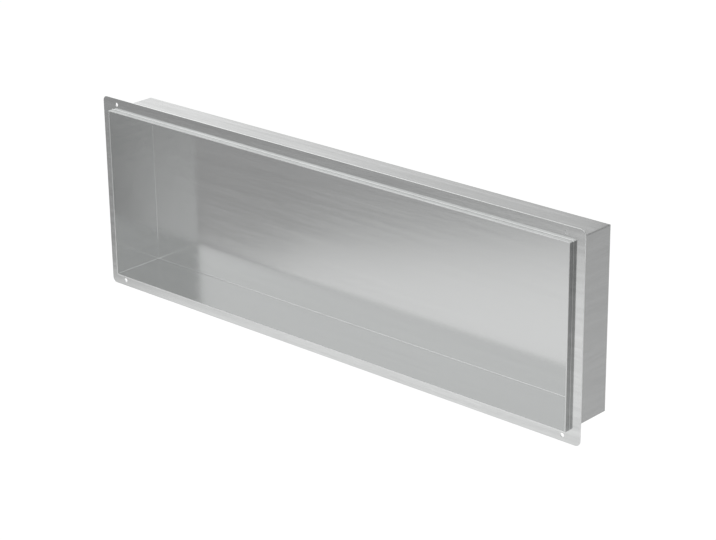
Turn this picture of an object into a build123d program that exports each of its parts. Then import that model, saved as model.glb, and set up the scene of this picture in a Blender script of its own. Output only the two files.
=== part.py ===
"""Stainless steel shower niche insert: a folded sheet pan with a flange frame welded round it.

The pan is let into a hole in a shower wall. Its flange frame lies on the face of the wall and is screwed
to it through four corner holes. The front of the pan stands proud of the flange as a lip, which the wall
tiles butt against.

Axes: X runs along the niche, Y runs into the wall, Z is up. All sizes are in millimetres.
The origin is the middle of the flange's back face, which is the plane that lies on the wall.
"""

import os

from build123d import *

# Driving dimensions of the pan
PAN_WIDTH = 877.0  # outside, left to right
PAN_HEIGHT = 268.0  # outside, floor to roof
PAN_SHEET = 1.5  # sheet thickness
RECESS_DEPTH = 79.5  # from the face of the wall to the outside of the back
LIP_HEIGHT = 8.0  # how far the front edge stands proud of the flange
BEND_RADIUS = 0.8  # inside radius of the four folds round the back
SEAM_ROOT = 1.0  # inside radius of the four welded corner seams
SEAM_ROUND = 1.5  # outside radius of the corner seams, dressed after welding
RIM_ROUND = 0.6  # rounding of the two edges of the front rim
RIM_SHARE = 0.45  # the most of the sheet's thickness that one such rounding takes

# Driving dimensions of the flange frame
FLANGE_BORDER = 18.5  # from the pan's outside to the frame's edge
FLANGE_SHEET = 1.5  # sheet thickness
FLANGE_CORNER = 8.0  # radius of the frame's outer corners
FLANGE_BREAK = 0.2  # rounding of the frame's outer front edge
FRAME_FIT = 0.1  # clearance all round between the pan and the frame's cut-out
WELD_LEG = 0.8  # size of the dressed weld run that joins the frame to the pan, in the corner of frame and lip
WELD_LAND = 0.2  # flat left on both sides of the slanted face of the weld run

# Screw holes of the flange frame
SCREW_HOLE = 6.0  # diameter
SCREW_END_INSET = 29.5  # from the frame's left and right ends to the hole centres

# How far a cutting form runs past the face that it opens
CUT_OVERRUN = 5.0

# Sizes that follow from these
FLANGE_WIDTH = PAN_WIDTH + 2 * FLANGE_BORDER
FLANGE_HEIGHT = PAN_HEIGHT + 2 * FLANGE_BORDER
FLANGE_FRONT = -FLANGE_SHEET
RIM_FRONT = FLANGE_FRONT - LIP_HEIGHT
SCREW_SPACING_X = FLANGE_WIDTH - 2 * SCREW_END_INSET
SCREW_SPACING_Z = PAN_HEIGHT + FLANGE_BORDER  # the holes are in the middle of the border

# The plane of an end view, with its x axis up and its y axis into the wall
END_VIEW = Plane(origin=(0, 0, 0), x_dir=(0, 0, 1), z_dir=(-1, 0, 0))


def fold_profile(span: float, bend: float, front: float, back: float) -> Sketch:
    """The section of a folded form: square at the front, with the bend radius at its two back corners."""
    depth = back - front
    outline = Pos(0, front + depth / 2) * Rectangle(span, depth)
    back_corners = outline.vertices().group_by(Axis.Y)[-1]
    return fillet(back_corners, bend)


def rounded_slab(width: float, height: float, corner: float, front: float, back: float) -> Part:
    """A slab with rounded corners as seen from the front, from y = front to y = back."""
    outline = Plane.XZ.offset(-front) * RectangleRounded(width, height, corner)
    return extrude(outline, amount=front - back)


def pan_form(width: float, height: float, bend: float, seam: float, front: float, back: float) -> Part:
    """A solid pan, as three views of it crossed.

    The folds show in the views from above and from the end, and the corner seams in the view from the front.
    """
    from_above = extrude(fold_profile(width, bend, front, back), amount=height / 2, both=True)
    from_end = extrude(END_VIEW * fold_profile(height, bend, front, back), amount=width / 2, both=True)
    from_front = rounded_slab(width, height, seam, front, back)
    return from_above & from_end & from_front


def niche_pan() -> Part:
    """The pan: a sheet folded up on all four sides of its back, with its corner seams welded and dressed."""
    outside = pan_form(
        PAN_WIDTH,
        PAN_HEIGHT,
        BEND_RADIUS + PAN_SHEET,
        SEAM_ROUND,
        RIM_FRONT,
        RECESS_DEPTH,
    )
    inside = pan_form(
        PAN_WIDTH - 2 * PAN_SHEET,
        PAN_HEIGHT - 2 * PAN_SHEET,
        BEND_RADIUS,
        SEAM_ROOT,
        RIM_FRONT - CUT_OVERRUN,
        RECESS_DEPTH - PAN_SHEET,
    )
    pan = outside - inside
    rim = pan.faces().sort_by(Axis.Y)[0]
    return fillet(rim.edges(), min(RIM_ROUND, RIM_SHARE * PAN_SHEET))


def weld_run() -> Part:
    """The slanted weld run in the front corner of frame and lip, before the pan's outline is cut from it."""
    run = rounded_slab(
        PAN_WIDTH + 2 * WELD_LEG,
        PAN_HEIGHT + 2 * WELD_LEG,
        SEAM_ROUND + WELD_LEG,
        FLANGE_FRONT - WELD_LEG,
        FLANGE_FRONT,
    )
    outer_edges = run.faces().sort_by(Axis.Y)[0].edges()
    return chamfer(outer_edges, WELD_LEG - WELD_LAND)


def screw_holes() -> Part:
    """Drills for the four screw holes of the frame."""
    drill = Cylinder(SCREW_HOLE / 2, FLANGE_SHEET + 2 * CUT_OVERRUN)
    middle_of_sheet = Plane.XZ.offset(FLANGE_SHEET / 2)
    return middle_of_sheet * GridLocations(SCREW_SPACING_X, SCREW_SPACING_Z, 2, 2) * drill


def mounting_flange() -> Part:
    """The frame: one plate cut out round the pan, with its screw holes and the weld run on its front."""
    plate = rounded_slab(FLANGE_WIDTH, FLANGE_HEIGHT, FLANGE_CORNER, FLANGE_FRONT, 0.0)
    front_edges = plate.faces().sort_by(Axis.Y)[0].edges()
    plate = fillet(front_edges, FLANGE_BREAK)
    cut_out = rounded_slab(
        PAN_WIDTH + 2 * FRAME_FIT,
        PAN_HEIGHT + 2 * FRAME_FIT,
        SEAM_ROUND + FRAME_FIT,
        FLANGE_FRONT - WELD_LEG - CUT_OVERRUN,
        CUT_OVERRUN,
    )
    return plate + weld_run() - cut_out - screw_holes()


def main() -> None:
    """Builds the two pieces and writes one STEP file for each."""
    pieces = {"niche_pan": niche_pan(), "mounting_flange": mounting_flange()}
    os.makedirs("parts", exist_ok=True)
    for name, piece in pieces.items():
        piece.label = name
        export_step(piece, f"parts/{name}.step")


main()
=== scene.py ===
"""Looks of a brushed stainless steel shower niche insert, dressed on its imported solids.

The frame's own solids stay in view. This file gives them their brushed finishes and sets up the plain
studio and the camera. Everything is in metres, in the frame of the solids: X along the niche, Y into the
wall, Z up.
"""

import logging
import math
from dataclasses import dataclass
from enum import Enum

import bpy
from mathutils import Matrix, Vector

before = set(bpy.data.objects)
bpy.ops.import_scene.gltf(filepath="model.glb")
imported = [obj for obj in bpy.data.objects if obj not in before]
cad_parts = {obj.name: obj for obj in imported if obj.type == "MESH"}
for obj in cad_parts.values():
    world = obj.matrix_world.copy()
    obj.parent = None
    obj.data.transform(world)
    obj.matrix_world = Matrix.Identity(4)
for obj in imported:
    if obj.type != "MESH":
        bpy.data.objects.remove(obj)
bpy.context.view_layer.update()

LOG = logging.getLogger("niche")
MM = 0.001

# Brushed finish
END_WALL_LIMIT = 0.72  # how squarely a face looks along the niche before its grain turns
GRAIN_DETAIL = {"Line": 2.0, "Streak": 3.0, "Pass": 1.0}  # how far each kind of brush line breaks up
GRAIN_BREAKS = 0.6  # how strong the finer breaks are
GRAIN_MIDDLE = 1.5  # the mean of the three kinds of brush line, added up
TONE_GAIN = 1.6  # brings the added lines to a tone of about -1 to 1
ACROSS_TANGENT = 0.25  # a quarter turn, so that the grain spreads light across itself
# The lip's painted sheen also covers the rounding of the rim, in front of this place.
RIM_BACK_FROM_LIP = -7.4 * MM  # where the rounding of the rim begins, from the back of the lip
END_SHARE = 0.25  # how much of the outer side's contrast the ends have

# Studio
FLOOR_HEIGHT = -0.98  # below the middle of the niche
WALL_TOP = 0.33  # the upper edge of the panels in front of the niche
SOFTBOX_LEVEL = 1.28  # the brightness of a softbox, where 1 is white
SQUARE = ((0, 0), (1, 0), (1, 1), (0, 1))  # the corners of a flat mesh, in order round it
FADE_SHARE = "fade_share"  # the mesh attribute that a panel's glow follows

# The vector sockets of the Mix node, which have the same names as its sockets of other kinds
MIX_VECTORS = (4, 5)
MIX_RESULT = 1

Colour = tuple[float, float, float]
Place = tuple[float, float, float]


class RayKind(Enum):
    """The light paths that see the white of the studio, by the name of their Light Path socket."""

    CAMERA = "Is Camera Ray"
    GLOSSY = "Is Glossy Ray"
    TRANSMISSION = "Is Transmission Ray"


class Grain(Enum):
    """Which way the brush lines run on a sheet, as a vector in the frame."""

    ALONG_NICHE = (1.0, 0.0, 0.0)
    INTO_WALL = (0.0, 1.0, 0.0)


class Effect(Enum):
    """The effects that the finishes share, by the name of their node group."""

    BRUSH_GRAIN = "brush_grain"
    # The masks of the roundings, where highlight and shade are painted into the colour.
    DRESSED_EDGE = "painted_edge_light"
    CUT_EDGE = "cut_edge"
    SHEET_ZONE = "sheet_zone"


class Fade(Enum):
    """Which way a panel's glow changes."""

    ACROSS = "across"
    UP = "up"


Effects = dict[Effect, bpy.types.NodeTree]
PlacedEffects = dict[Effect, bpy.types.Node]


def rgba(colour: Colour) -> tuple[float, float, float, float]:
    """Gives a colour its alpha of 1."""
    return (*colour, 1.0)


class NodeSheet:
    """A node tree with short helpers for adding and joining nodes."""

    def __init__(self, tree: bpy.types.NodeTree) -> None:
        """Keeps a node tree and empties it."""
        self.tree = tree
        self.tree.nodes.clear()

    def add(self, kind: str, **settings: object) -> bpy.types.Node:
        """Adds a node.

        Args:
            kind: the node's type, such as ShaderNodeMath.
            settings: properties to set on the node.

        Returns:
            The new node.
        """
        node = self.tree.nodes.new(kind)
        for name, value in settings.items():
            setattr(node, name, value)
        return node

    def join(self, source: object, target: bpy.types.NodeSocket) -> None:
        """Links a socket to a target, or sets the target to a plain value.

        Args:
            source: a socket to link from, or a value to set.
            target: the input socket.
        """
        if isinstance(source, bpy.types.NodeSocket):
            self.tree.links.new(source, target)
        else:
            target.default_value = source

    def feed(self, node: bpy.types.Node, *sources: object) -> bpy.types.Node:
        """Joins sockets or plain values to the inputs of a node, in their order.

        Args:
            node: the node.
            sources: what goes into its first inputs.

        Returns:
            The same node.
        """
        for source, target in zip(sources, node.inputs):
            self.join(source, target)
        return node

    def math(self, operation: str, *values: object, clamp: bool = False) -> bpy.types.NodeSocket:
        """Adds a Math node, held between 0 and 1 if clamp is set, and gives its result."""
        node = self.add("ShaderNodeMath", operation=operation, use_clamp=clamp)
        return self.feed(node, *values).outputs[0]

    def vector_math(self, operation: str, *vectors: object) -> bpy.types.NodeSocket:
        """Adds a Vector Math node and gives its vector result."""
        node = self.add("ShaderNodeVectorMath", operation=operation)
        return self.feed(node, *vectors).outputs["Vector"]

    def ramp(
        self,
        value: object,
        low: object,
        high: object,
        to_low: float,
        to_high: float,
    ) -> bpy.types.NodeSocket:
        """Maps a value smoothly from the range of low to high to that of to_low to to_high."""
        node = self.add("ShaderNodeMapRange", interpolation_type="SMOOTHSTEP")
        return self.feed(node, value, low, high, to_low, to_high).outputs["Result"]

    def combine(self, *shares: object) -> bpy.types.NodeSocket:
        """Makes a vector of its three shares."""
        return self.feed(self.add("ShaderNodeCombineXYZ"), *shares).outputs["Vector"]

    def split(self, vector: bpy.types.NodeSocket) -> tuple[bpy.types.NodeSocket, ...]:
        """Splits a vector into its X, Y and Z."""
        return tuple(self.feed(self.add("ShaderNodeSeparateXYZ"), vector).outputs)

    def mix_vector(self, share: object, first: object, second: object) -> bpy.types.NodeSocket:
        """Mixes two vectors.

        Args:
            share: how much of the second shows, from 0 to 1.
            first: the vector at 0.
            second: the vector at 1.

        Returns:
            The mixed vector's socket.
        """
        node = self.add("ShaderNodeMix", data_type="VECTOR")
        self.join(share, node.inputs["Factor"])
        for vector, index in zip((first, second), MIX_VECTORS):
            self.join(vector, node.inputs[index])
        return node.outputs[MIX_RESULT]

    def place(self) -> bpy.types.NodeSocket:
        """Where a point of the surface is, in the frame of the solids."""
        return self.add("ShaderNodeTexCoord").outputs["Object"]

    def facing(self) -> bpy.types.NodeSocket:
        """Which way the surface faces."""
        return self.add("ShaderNodeNewGeometry").outputs["Normal"]

    def on_end_wall(self) -> bpy.types.NodeSocket:
        """A mask of the faces that look along the niche, which are those of its two ends."""
        along = self.split(self.facing())[0]
        return self.math("GREATER_THAN", self.math("ABSOLUTE", along), END_WALL_LIMIT)

    def show(self, shader: bpy.types.NodeSocket, outlet: str = "ShaderNodeOutputMaterial") -> None:
        """Joins a shader to the outlet of a material or a world."""
        self.join(shader, self.add(outlet).inputs["Surface"])


class EffectGroup(NodeSheet):
    """A shader node group with named number inputs and outputs, shared by the finishes."""

    def __init__(self, effect: Effect, inputs: dict[str, float], outputs: tuple[str, ...]) -> None:
        """Makes the group with its sockets.

        Args:
            effect: the effect that it gives.
            inputs: each input's name and its usual value.
            outputs: each output's name.
        """
        super().__init__(bpy.data.node_groups.new(effect.value, "ShaderNodeTree"))
        for label, usual in inputs.items():
            self._socket(label, "INPUT").default_value = usual
        for label in outputs:
            self._socket(label, "OUTPUT")
        self.inlet = self.add("NodeGroupInput")
        self.outlet = self.add("NodeGroupOutput")

    def _socket(self, label: str, side: str) -> bpy.types.NodeTreeInterfaceSocket:
        """Adds a number socket to one side of the group."""
        return self.tree.interface.new_socket(label, in_out=side, socket_type="NodeSocketFloat")

    def given(self, label: str) -> bpy.types.NodeSocket:
        """The socket of one of the group's inputs."""
        return self.inlet.outputs[label]

    def give(self, label: str, value: bpy.types.NodeSocket) -> None:
        """Joins a result to one of the group's outputs."""
        self.join(value, self.outlet.inputs[label])


def new_material(name: str) -> tuple[bpy.types.Material, NodeSheet]:
    """Makes a material with an empty node tree.

    Args:
        name: the material's name.

    Returns:
        The material and its node tree.
    """
    material = bpy.data.materials.new(name)
    material.use_nodes = True
    return material, NodeSheet(material.node_tree)


def brush_grain_group() -> bpy.types.NodeTree:
    """The lines that a brushing belt leaves in a sheet: hair lines, streaks and broad passes of the belt.

    The grain runs along the niche, and on the two ends into the wall, as on a sheet that was brushed flat
    and then folded.

    Returns:
        The group, with the outputs Line, Streak and Pass, each about 0.5 on average.
    """
    group = EffectGroup(
        Effect.BRUSH_GRAIN,
        {"Line Pitch": 0.4 * MM, "Streak Pitch": 1.6 * MM, "Pass Pitch": 9 * MM, "Stretch": 30.0},
        tuple(GRAIN_DETAIL),
    )
    slow = group.math("DIVIDE", 1.0, group.given("Stretch"))
    along_niche = group.combine(slow, 1.0, 1.0)
    into_wall = group.combine(1.0, slow, 1.0)
    squeeze = group.mix_vector(group.on_end_wall(), along_niche, into_wall)
    drawn_out = group.vector_math("MULTIPLY", group.place(), squeeze)
    for label, detail in GRAIN_DETAIL.items():
        noise = group.add("ShaderNodeTexNoise", noise_dimensions="3D")
        group.join(drawn_out, noise.inputs["Vector"])
        group.join(group.math("DIVIDE", 1.0, group.given(f"{label} Pitch")), noise.inputs["Scale"])
        noise.inputs["Detail"].default_value = detail
        noise.inputs["Roughness"].default_value = GRAIN_BREAKS
        group.give(label, noise.outputs["Fac"])
    return group.tree


def painted_edge_light_group() -> bpy.types.NodeTree:
    """Masks of the folds, broken edges and corner seams, on which the finishes paint highlight or shade
    into the colour.

    Returns:
        The group, with the outputs Long, for edges along the niche, End, for the upright edges of its two
        ends, and Seam, for edges that run into the wall. Each is 0 on a flat face and 1 in the middle of a
        rounding.
    """
    group = EffectGroup(
        Effect.DRESSED_EDGE,
        {"Flat Limit": 0.02, "Round Limit": 0.2, "Seam Limit": 0.1},
        ("Long", "End", "Seam"),
    )
    along, inward, up = group.split(group.vector_math("ABSOLUTE", group.facing()))
    widest = group.math("MAXIMUM", along, group.math("MAXIMUM", inward, up))
    off_axis = group.math("SUBTRACT", 1.0, widest)
    edge = group.ramp(off_axis, group.given("Flat Limit"), group.given("Round Limit"), 0.0, 1.0)
    seam = group.math("MULTIPLY", edge, group.math("LESS_THAN", inward, group.given("Seam Limit")))
    fold = group.math("SUBTRACT", edge, seam)
    end_fold = group.math("MULTIPLY", fold, group.math("GREATER_THAN", along, up))
    group.give("Long", group.math("SUBTRACT", fold, end_fold))
    group.give("End", end_fold)
    group.give("Seam", seam)
    return group.tree


def cut_edge_group() -> bpy.types.NodeTree:
    """The edges along which a sheet was cut, which are duller and paler than its brushed faces.

    Returns:
        The group, with the output Cut, 1 on a face that looks along the wall and 0 on one that looks into
        it.
    """
    group = EffectGroup(Effect.CUT_EDGE, {"Edge Limit": 0.3, "Face Limit": 0.6}, ("Cut",))
    squareness = group.math("ABSOLUTE", group.split(group.facing())[1])
    cut = group.ramp(squareness, group.given("Edge Limit"), group.given("Face Limit"), 1.0, 0.0)
    group.give("Cut", cut)
    return group.tree


@dataclass(frozen=True)
class BrushedSteel:
    """A brushed stainless finish.

    Attributes:
        name: the material's name.
        colour: the steel's own colour.
        roughness: its mean roughness.
        roughness_swing: how far the grain moves the roughness up and down.
        anisotropy: how much further the grain spreads a reflection across itself than along itself.
        contrast: how far the grain moves the colour up and down.
        depth: the height of the brush lines, in metres.
        long_edge_painted_sheen: painted highlight: how much brighter the colour is made on the rounded
            edges along the niche.
        end_edge_painted_light: painted light: how much brighter the colour is made on the upright rounded
            edges of its two ends; below 0 it is painted shade.
        seam_edge_painted_sheen: painted highlight: how much brighter the colour is made on the corner
            seams.
        outer_contrast: how much further the grain moves the colour on the outer side of a folded sheet.
        lip_painted_sheen: painted sheen: how much brighter the colour of the lip of a folded sheet is
            made.
        cut_brightness: how much paler the cut edges of a flat plate are, or 0 for a folded sheet.
        cut_roughness: how much duller they are.
    """

    name: str
    colour: Colour
    roughness: float
    roughness_swing: float
    anisotropy: float
    contrast: float
    depth: float
    long_edge_painted_sheen: float
    end_edge_painted_light: float
    seam_edge_painted_sheen: float
    outer_contrast: float = 0.0
    lip_painted_sheen: float = 0.0
    cut_brightness: float = 0.0
    cut_roughness: float = 0.0

    def material(self, effects: Effects) -> bpy.types.Material:
        """Builds the finish as a material.

        Args:
            effects: the shared node groups.

        Returns:
            The material.
        """
        material, sheet = new_material(self.name)
        steel = sheet.add("ShaderNodeBsdfPrincipled")
        sheet.show(steel.outputs["BSDF"])
        steel.inputs["Metallic"].default_value = 1.0
        steel.inputs["Anisotropic"].default_value = self.anisotropy
        steel.inputs["Anisotropic Rotation"].default_value = ACROSS_TANGENT
        placed = {
            effect: sheet.add("ShaderNodeGroup", node_tree=tree) for effect, tree in effects.items()
        }
        tone = self._tone(sheet, placed)
        sheet.join(self._colour(sheet, placed, tone), steel.inputs["Base Color"])
        sheet.join(self._roughness(sheet, placed, tone), steel.inputs["Roughness"])
        sheet.join(self._relief(sheet, placed), steel.inputs["Normal"])
        sheet.join(self._tangent(sheet), steel.inputs["Tangent"])
        return material

    def _tone(self, sheet: NodeSheet, placed: PlacedEffects) -> bpy.types.NodeSocket:
        """Adds the three kinds of brush line up to one tone.

        Args:
            sheet: the material's node tree.
            placed: the nodes of the shared effects.

        Returns:
            The tone, from about -1 to 1.
        """
        grain = placed[Effect.BRUSH_GRAIN].outputs
        total = sheet.math("ADD", grain["Line"], grain["Streak"])
        total = sheet.math("ADD", total, grain["Pass"])
        return sheet.math("MULTIPLY_ADD", total, TONE_GAIN, -GRAIN_MIDDLE * TONE_GAIN)

    def _colour(
        self,
        sheet: NodeSheet,
        placed: PlacedEffects,
        tone: bpy.types.NodeSocket,
    ) -> bpy.types.NodeSocket:
        """The steel's colour, moved by the grain, with painted sheen on the lip, painted highlight and
        shade on the roundings, and paler cut edges.

        Args:
            sheet: the material's node tree.
            placed: the nodes of the shared effects.
            tone: the grain's tone.

        Returns:
            The colour's socket.
        """
        zone = placed[Effect.SHEET_ZONE].outputs
        contrast = sheet.math("MULTIPLY_ADD", zone["Outside"], self.outer_contrast, self.contrast)
        level = sheet.math("MULTIPLY_ADD", tone, contrast, 1.0)
        # Painted sheen on the lip.
        level = sheet.math("MULTIPLY_ADD", zone["Lip"], self.lip_painted_sheen, level)
        # Painted highlight and painted shade on the roundings, kept off the lip.
        off_lip = sheet.math("SUBTRACT", 1.0, zone["Lip"])
        painted_edge_tones = {"Long": self.long_edge_painted_sheen, "End": self.end_edge_painted_light, "Seam": self.seam_edge_painted_sheen}
        for label, brightness in painted_edge_tones.items():
            edge = placed[Effect.DRESSED_EDGE].outputs[label]
            painted_tone = sheet.math("MULTIPLY", edge, brightness)
            level = sheet.math("MULTIPLY_ADD", painted_tone, off_lip, level)
        cut = placed[Effect.CUT_EDGE].outputs["Cut"]
        level = sheet.math("MULTIPLY_ADD", cut, self.cut_brightness, level)
        scaled = sheet.add("ShaderNodeVectorMath", operation="SCALE")
        scaled.inputs[0].default_value = self.colour
        sheet.join(level, scaled.inputs["Scale"])
        return scaled.outputs["Vector"]

    def _roughness(
        self,
        sheet: NodeSheet,
        placed: PlacedEffects,
        tone: bpy.types.NodeSocket,
    ) -> bpy.types.NodeSocket:
        """The roughness, moved by the grain and raised on cut edges.

        Args:
            sheet: the material's node tree.
            placed: the nodes of the shared effects.
            tone: the grain's tone.

        Returns:
            The roughness's socket.
        """
        cut = placed[Effect.CUT_EDGE].outputs["Cut"]
        brushed = sheet.math("MULTIPLY_ADD", tone, self.roughness_swing, self.roughness)
        return sheet.math("MULTIPLY_ADD", cut, self.cut_roughness, brushed)

    def _relief(self, sheet: NodeSheet, placed: PlacedEffects) -> bpy.types.NodeSocket:
        """The relief of the hair lines.

        Args:
            sheet: the material's node tree.
            placed: the nodes of the shared effects.

        Returns:
            The socket of the bent normal.
        """
        line = placed[Effect.BRUSH_GRAIN].outputs["Line"]
        bump = sheet.add("ShaderNodeBump")
        bump.inputs["Strength"].default_value = 1.0
        bump.inputs["Distance"].default_value = 1.0
        sheet.join(sheet.math("MULTIPLY", line, self.depth), bump.inputs["Height"])
        return bump.outputs["Normal"]

    def _tangent(self, sheet: NodeSheet) -> bpy.types.NodeSocket:
        """The direction of the grain at each point."""
        return sheet.mix_vector(sheet.on_end_wall(), Grain.ALONG_NICHE.value, Grain.INTO_WALL.value)


def dress_node(name: str, material: bpy.types.Material) -> None:
    """Puts a material in every slot of a solid of the frame.

    Args:
        name: the solid's name.
        material: the material.
    """
    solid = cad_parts[name]
    for slot in solid.material_slots:
        slot.material = material
    LOG.info("%s is dressed in %s", name, material.name)


@dataclass
class NichePan:
    """The folded pan: back, floor, roof, two ends and the lip.

    Attributes:
        node: the name of its solid.
        width: its outside width.
        height: its outside height.
        back: where the outside of its back is.
        sheet: its sheet thickness.
        lip_back: where the lip begins, at the front of the frame.
        finish: its brushed finish.
    """

    node: str = "niche_pan"
    width: float = 877 * MM
    height: float = 268 * MM
    back: float = 79.5 * MM
    sheet: float = 1.5 * MM
    lip_back: float = -1.5 * MM
    finish: BrushedSteel = BrushedSteel(
        name="pan_brushed_steel",
        colour=(0.603, 0.610, 0.608),
        roughness=0.151,
        roughness_swing=0.04,
        anisotropy=0.4,
        contrast=0.035,
        # Painted highlight on the long folds and corner seams, painted shade on the upright folds of the
        # ends.
        depth=0.002 * MM,
        long_edge_painted_sheen=0.3,
        end_edge_painted_light=-0.14,
        seam_edge_painted_sheen=0.4,
        outer_contrast=0.18,
        # Painted sheen on the lip.
        lip_painted_sheen=0.13,
    )

    def zones(self) -> bpy.types.NodeTree:
        """The zones of the pan's sheet: its outer side, and the lip, where the colour takes a painted
        sheen.

        Returns:
            The group, with the outputs Outside and Lip, each 1 in its zone and 0 elsewhere. On the ends,
            Outside has only a share of that.
        """
        group = EffectGroup(
            Effect.SHEET_ZONE,
            {
                "Side": (self.width - self.sheet) / 2,
                "Top": (self.height - self.sheet) / 2,
                "Back": self.back - self.sheet / 2,
                "Lip Back": self.lip_back,
                "Rim Back": self.lip_back + RIM_BACK_FROM_LIP,
            },
            ("Outside", "Lip"),
        )
        along, inward, up = group.split(group.place())
        on_side = group.math("GREATER_THAN", group.math("ABSOLUTE", along), group.given("Side"))
        on_top = group.math("GREATER_THAN", group.math("ABSOLUTE", up), group.given("Top"))
        on_back = group.math("GREATER_THAN", inward, group.given("Back"))
        round_sheet = group.math("MAXIMUM", on_side, on_top)
        outside = group.math("MAXIMUM", round_sheet, on_back)
        fainter_ends = group.math("MULTIPLY_ADD", on_side, END_SHARE - 1.0, 1.0)
        group.give("Outside", group.math("MULTIPLY", outside, fainter_ends))
        # The lip and the rim's rounding, where the colour takes a painted sheen.
        on_lip = group.math("LESS_THAN", inward, group.given("Lip Back"))
        on_rim = group.math("LESS_THAN", inward, group.given("Rim Back"))
        outer_lip = group.math("MULTIPLY", on_lip, round_sheet)
        group.give("Lip", group.math("MAXIMUM", outer_lip, on_rim))
        return group.tree

    def dress(self, effects: Effects) -> None:
        """Gives the pan its finish."""
        dress_node(self.node, self.finish.material(effects))


@dataclass
class MountingFlange:
    """The frame that lies on the wall, with its screw holes and the weld in its front corner.

    Attributes:
        node: the name of its solid.
        finish: its brushed finish.
    """

    node: str = "mounting_flange"
    finish: BrushedSteel = BrushedSteel(
        name="flange_brushed_steel",
        colour=(0.612, 0.619, 0.617),
        roughness=0.134,
        roughness_swing=0.03,
        anisotropy=0.4,
        contrast=0.16,
        depth=0.002 * MM,
        # Painted highlight on the flange's rounded edges along the niche.
        long_edge_painted_sheen=0.25,
        end_edge_painted_light=0.0,
        seam_edge_painted_sheen=0.0,
        cut_brightness=0.55,
        cut_roughness=0.25,
    )

    def dress(self, effects: Effects) -> None:
        """Gives the frame its finish."""
        dress_node(self.node, self.finish.material(effects))


def stage_mesh(name: str, corners: list[Place], material: bpy.types.Material) -> bpy.types.Object:
    """Makes a flat mesh of the studio.

    Args:
        name: the mesh's name.
        corners: its four corners, in order round it.
        material: its material.

    Returns:
        The new object.
    """
    mesh = bpy.data.meshes.new(name)
    mesh.from_pydata(corners, [], [tuple(range(len(corners)))])
    mesh.materials.append(material)
    made = bpy.data.objects.new(name, mesh)
    bpy.context.scene.collection.objects.link(made)
    return made


def white_seen(sheet: NodeSheet) -> bpy.types.NodeSocket:
    """Marks the rays that see the studio as plain white.

    Args:
        sheet: the node tree to build in.

    Returns:
        A socket that is 1 for camera, glossy and transmission rays and 0 for the rest.
    """
    path = sheet.add("ShaderNodeLightPath")
    total: object = 0.0
    for kind in RayKind:
        total = sheet.math("ADD", path.outputs[kind.value], total, clamp=True)
    return total


@dataclass
class StudioCard:
    """A flat upright panel that the steel mirrors: a softbox if it is bright, a flag if it is dark.

    Attributes:
        name: the panel's name.
        azimuth: the way that it faces, as a turn round the niche: 0 is in front and 90 to the right.
        distance: how far its plane is from the niche.
        left: its left end, as seen from the niche, from the point that is nearest to the niche.
        right: its right end.
        bottom: the height of its lower edge.
        top: the height of its upper edge.
        level: its brightness, where 1 is white.
        far_level: its brightness at its right end or its upper edge, if it isn't the same all over.
        fade: which way it changes from one to the other.
    """

    name: str
    azimuth: float
    distance: float
    left: float
    right: float
    bottom: float
    top: float
    level: float
    far_level: float | None = None
    fade: Fade = Fade.UP

    def build(self) -> None:
        """Makes the panel, facing the niche and seen only by the steel."""
        corners: list[Place] = []
        shares: list[float] = []
        for across, up in SQUARE:
            # Left and right are as seen from the niche, so they run against the panel's own X axis.
            side = -(self.right if across else self.left)
            corners.append((side, -self.distance, self.top if up else self.bottom))
            shares.append(across if self.fade is Fade.ACROSS else up)
        card = stage_mesh(self.name, corners, self._material())
        share = card.data.attributes.new(FADE_SHARE, "FLOAT", "POINT")
        share.data.foreach_set("value", shares)
        card.rotation_euler.z = math.radians(self.azimuth)
        card.visible_camera = False
        card.visible_shadow = False
        card.visible_diffuse = False
        LOG.info("%s faces the niche from %.0f degrees", self.name, self.azimuth)

    def _material(self) -> bpy.types.Material:
        """The panel's glow.

        Returns:
            The material, which only gives out light.
        """
        material, sheet = new_material(self.name)
        glow = sheet.add("ShaderNodeEmission")
        sheet.join(self._strength(sheet), glow.inputs["Strength"])
        sheet.show(glow.outputs["Emission"])
        return material

    def _strength(self, sheet: NodeSheet) -> bpy.types.NodeSocket | float:
        """How brightly the panel glows.

        Args:
            sheet: the material's node tree.

        Returns:
            A plain number, or a socket if the glow fades.
        """
        if self.far_level is None:
            return self.level
        share = sheet.add("ShaderNodeAttribute", attribute_name=FADE_SHARE).outputs["Fac"]
        return sheet.ramp(share, 0.0, 1.0, self.level, self.far_level)


@dataclass
class SoftLamp:
    """A square soft lamp that looks at the niche and isn't mirrored by the steel.

    Attributes:
        name: the lamp's name.
        place: where it hangs.
        side: the length of its side.
        power: its power in watts.
    """

    name: str
    place: Place
    side: float
    power: float

    def build(self) -> None:
        """Hangs the lamp."""
        light = bpy.data.lights.new(self.name, "AREA")
        light.size = self.side
        light.energy = self.power
        lamp = bpy.data.objects.new(self.name, light)
        lamp.location = self.place
        lamp.rotation_euler = (-Vector(self.place)).to_track_quat("-Z", "Y").to_euler()
        lamp.visible_glossy = False
        bpy.context.scene.collection.objects.link(lamp)
        LOG.info("%s gives %.0f W", self.name, self.power)


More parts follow.
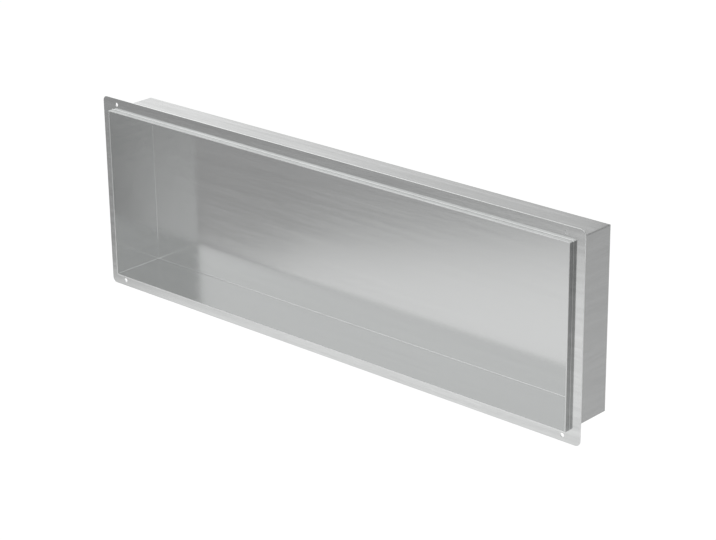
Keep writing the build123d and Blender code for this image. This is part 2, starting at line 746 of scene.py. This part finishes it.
@dataclass
class Studio:
    """A white studio: world, pale floor, soft lamps and the panels that the steel mirrors.

    Attributes:
        floor_reach: half the floor's side.
        floor_colour: the floor's colour.
        floor_lift: what brings the lit floor up to white.
        sky_level: how brightly the world lights the floor.
        lamps: the lamps.
        cards: the panels.
    """

    floor_reach: float = 30.0
    floor_colour: Colour = (0.82, 0.82, 0.82)
    floor_lift: float = 0.365
    sky_level: float = 0.8
    lamps: tuple[SoftLamp, ...] = (
        SoftLamp("key_lamp", place=(-1.6, -2.0, 2.2), side=1.8, power=3.0),
        SoftLamp("rim_lamp", place=(-1.5, 1.6, 1.8), side=1.4, power=3.0),
    )
    cards: tuple[StudioCard, ...] = (
        StudioCard(
            "front_left_wall", azimuth=-43.0, distance=2.5, left=-1.0, right=1.0,
            bottom=FLOOR_HEIGHT, top=WALL_TOP, level=0.54, far_level=0.40, fade=Fade.ACROSS,
        ),
        StudioCard(
            "left_wall", azimuth=-43.0, distance=2.42, left=0.2, right=2.6,
            bottom=FLOOR_HEIGHT, top=WALL_TOP, level=0.43, far_level=0.40, fade=Fade.ACROSS,
        ),
        StudioCard(
            "front_wall", azimuth=4.0, distance=2.5, left=-1.4, right=1.4,
            bottom=FLOOR_HEIGHT, top=WALL_TOP, level=0.5,
        ),
        StudioCard(
            "key_softbox", azimuth=-42.0, distance=3.0, left=-1.6, right=3.0,
            bottom=0.37, top=5.5, level=SOFTBOX_LEVEL,
        ),
        StudioCard(
            "front_right_wall", azimuth=40.0, distance=2.6, left=-1.0, right=1.2,
            bottom=FLOOR_HEIGHT, top=0.55, level=0.69,
        ),
        StudioCard(
            "front_right_softbox", azimuth=47.0, distance=3.0, left=-1.0, right=1.0,
            bottom=0.55, top=2.4, level=SOFTBOX_LEVEL,
        ),
        StudioCard(
            "left_end_flag", azimuth=49.0, distance=0.7, left=0.04, right=0.205,
            bottom=-0.56, top=-0.22, level=0.52,
        ),
        StudioCard(
            "front_right_flag", azimuth=58.2, distance=0.93, left=-0.3, right=0.2,
            bottom=-0.6, top=0.1, level=0.72, far_level=0.22,
        ),
        StudioCard(
            "back_right_flag", azimuth=140.0, distance=1.6, left=-0.8, right=0.8,
            bottom=FLOOR_HEIGHT, top=1.3, level=0.62, far_level=0.2,
        ),
        StudioCard(
            "back_flag", azimuth=180.0, distance=1.6, left=-0.65, right=0.65,
            bottom=FLOOR_HEIGHT, top=2.8, level=0.42, far_level=0.25,
        ),
        StudioCard(
            "back_left_softbox", azimuth=-137.0, distance=3.0, left=-1.7, right=1.7,
            bottom=0.45, top=3.0, level=SOFTBOX_LEVEL, far_level=0.50, fade=Fade.ACROSS,
        ),
    )

    def build(self) -> None:
        """Builds the whole studio."""
        self._world()
        self._floor()
        for item in (*self.cards, *self.lamps):
            item.build()
        bpy.context.scene.view_settings.view_transform = "Standard"

    def _world(self) -> None:
        """Makes the world white to the camera and the steel, and softer as a light."""
        world = bpy.data.worlds.new("white_studio")
        world.use_nodes = True
        bpy.context.scene.world = world
        sheet = NodeSheet(world.node_tree)
        sky = sheet.add("ShaderNodeBackground")
        sky.inputs["Color"].default_value = rgba((1.0, 1.0, 1.0))
        sheet.join(sheet.ramp(white_seen(sheet), 0.0, 1.0, self.sky_level, 1.0), sky.inputs["Strength"])
        sheet.show(sky.outputs["Background"], "ShaderNodeOutputWorld")

    def _floor(self) -> None:
        """Makes the pale floor, which is lifted to white where it is seen and keeps the niche's shadow."""
        material, sheet = new_material("pale_floor")
        paint = sheet.add("ShaderNodeBsdfDiffuse")
        paint.inputs["Color"].default_value = rgba(self.floor_colour)
        lift = sheet.add("ShaderNodeEmission")
        sheet.join(sheet.math("MULTIPLY", white_seen(sheet), self.floor_lift), lift.inputs["Strength"])
        both = sheet.add("ShaderNodeAddShader")
        sheet.feed(both, paint.outputs["BSDF"], lift.outputs["Emission"])
        sheet.show(both.outputs["Shader"])
        reach = self.floor_reach
        corners = [((2 * x - 1) * reach, (2 * y - 1) * reach, FLOOR_HEIGHT) for x, y in SQUARE]
        stage_mesh("floor", corners, material)
        LOG.info("floor lies at %.2f m", FLOOR_HEIGHT)


@dataclass
class PhotoCamera:
    """The photograph's camera, as fitted to the niche's corners.

    Attributes:
        frame_width: the width of the picture, in pixels.
        focal_length: the focal length, in pixels.
        place: where the camera stands.
        yaw: its turn to the left from looking into the wall, in degrees.
        pitch: its tilt, in degrees: down is below 0.
        roll: its lean, in degrees.
        level: the tilt that brings a new camera, which looks straight down, up to level.
        sensor: the sensor's width, in millimetres.
    """

    frame_width: int = 716
    focal_length: float = 2234.0
    place: Place = (2.0356, -2.1525, 1.1422)
    yaw: float = 42.495
    pitch: float = -21.398
    roll: float = 0.737
    level: float = 90.0
    sensor: float = 36.0

    def build(self) -> None:
        """Makes the camera and gives it to the scene."""
        data = bpy.data.cameras.new("photo_camera")
        data.sensor_width = self.sensor
        data.lens = self.focal_length / self.frame_width * self.sensor
        camera = bpy.data.objects.new("photo_camera", data)
        camera.matrix_world = Matrix.Translation(self.place) @ self._turn().to_4x4()
        bpy.context.scene.collection.objects.link(camera)
        bpy.context.scene.camera = camera
        LOG.info("camera has a lens of %.1f mm", data.lens)

    def _turn(self) -> Matrix:
        """The camera's rotation, from one that looks straight down.

        Returns:
            The rotation, as a matrix of 3 by 3.
        """
        turn = Matrix.Identity(3)
        for angle, axis in ((self.yaw, "Z"), (self.pitch, "X"), (self.roll, "Y"), (self.level, "X")):
            turn = turn @ Matrix.Rotation(math.radians(angle), 3, axis)
        return turn


def main() -> None:
    """Dresses the niche, then sets up the studio and the camera."""
    logging.basicConfig(level=logging.INFO, format="%(name)s: %(message)s")
    pan = NichePan()
    flange = MountingFlange()
    effects = {
        Effect.BRUSH_GRAIN: brush_grain_group(),
        Effect.DRESSED_EDGE: painted_edge_light_group(),
        Effect.CUT_EDGE: cut_edge_group(),
        Effect.SHEET_ZONE: pan.zones(),
    }
    pan.dress(effects)
    flange.dress(effects)
    Studio().build()
    PhotoCamera().build()


if __name__ == "__main__":
    main()
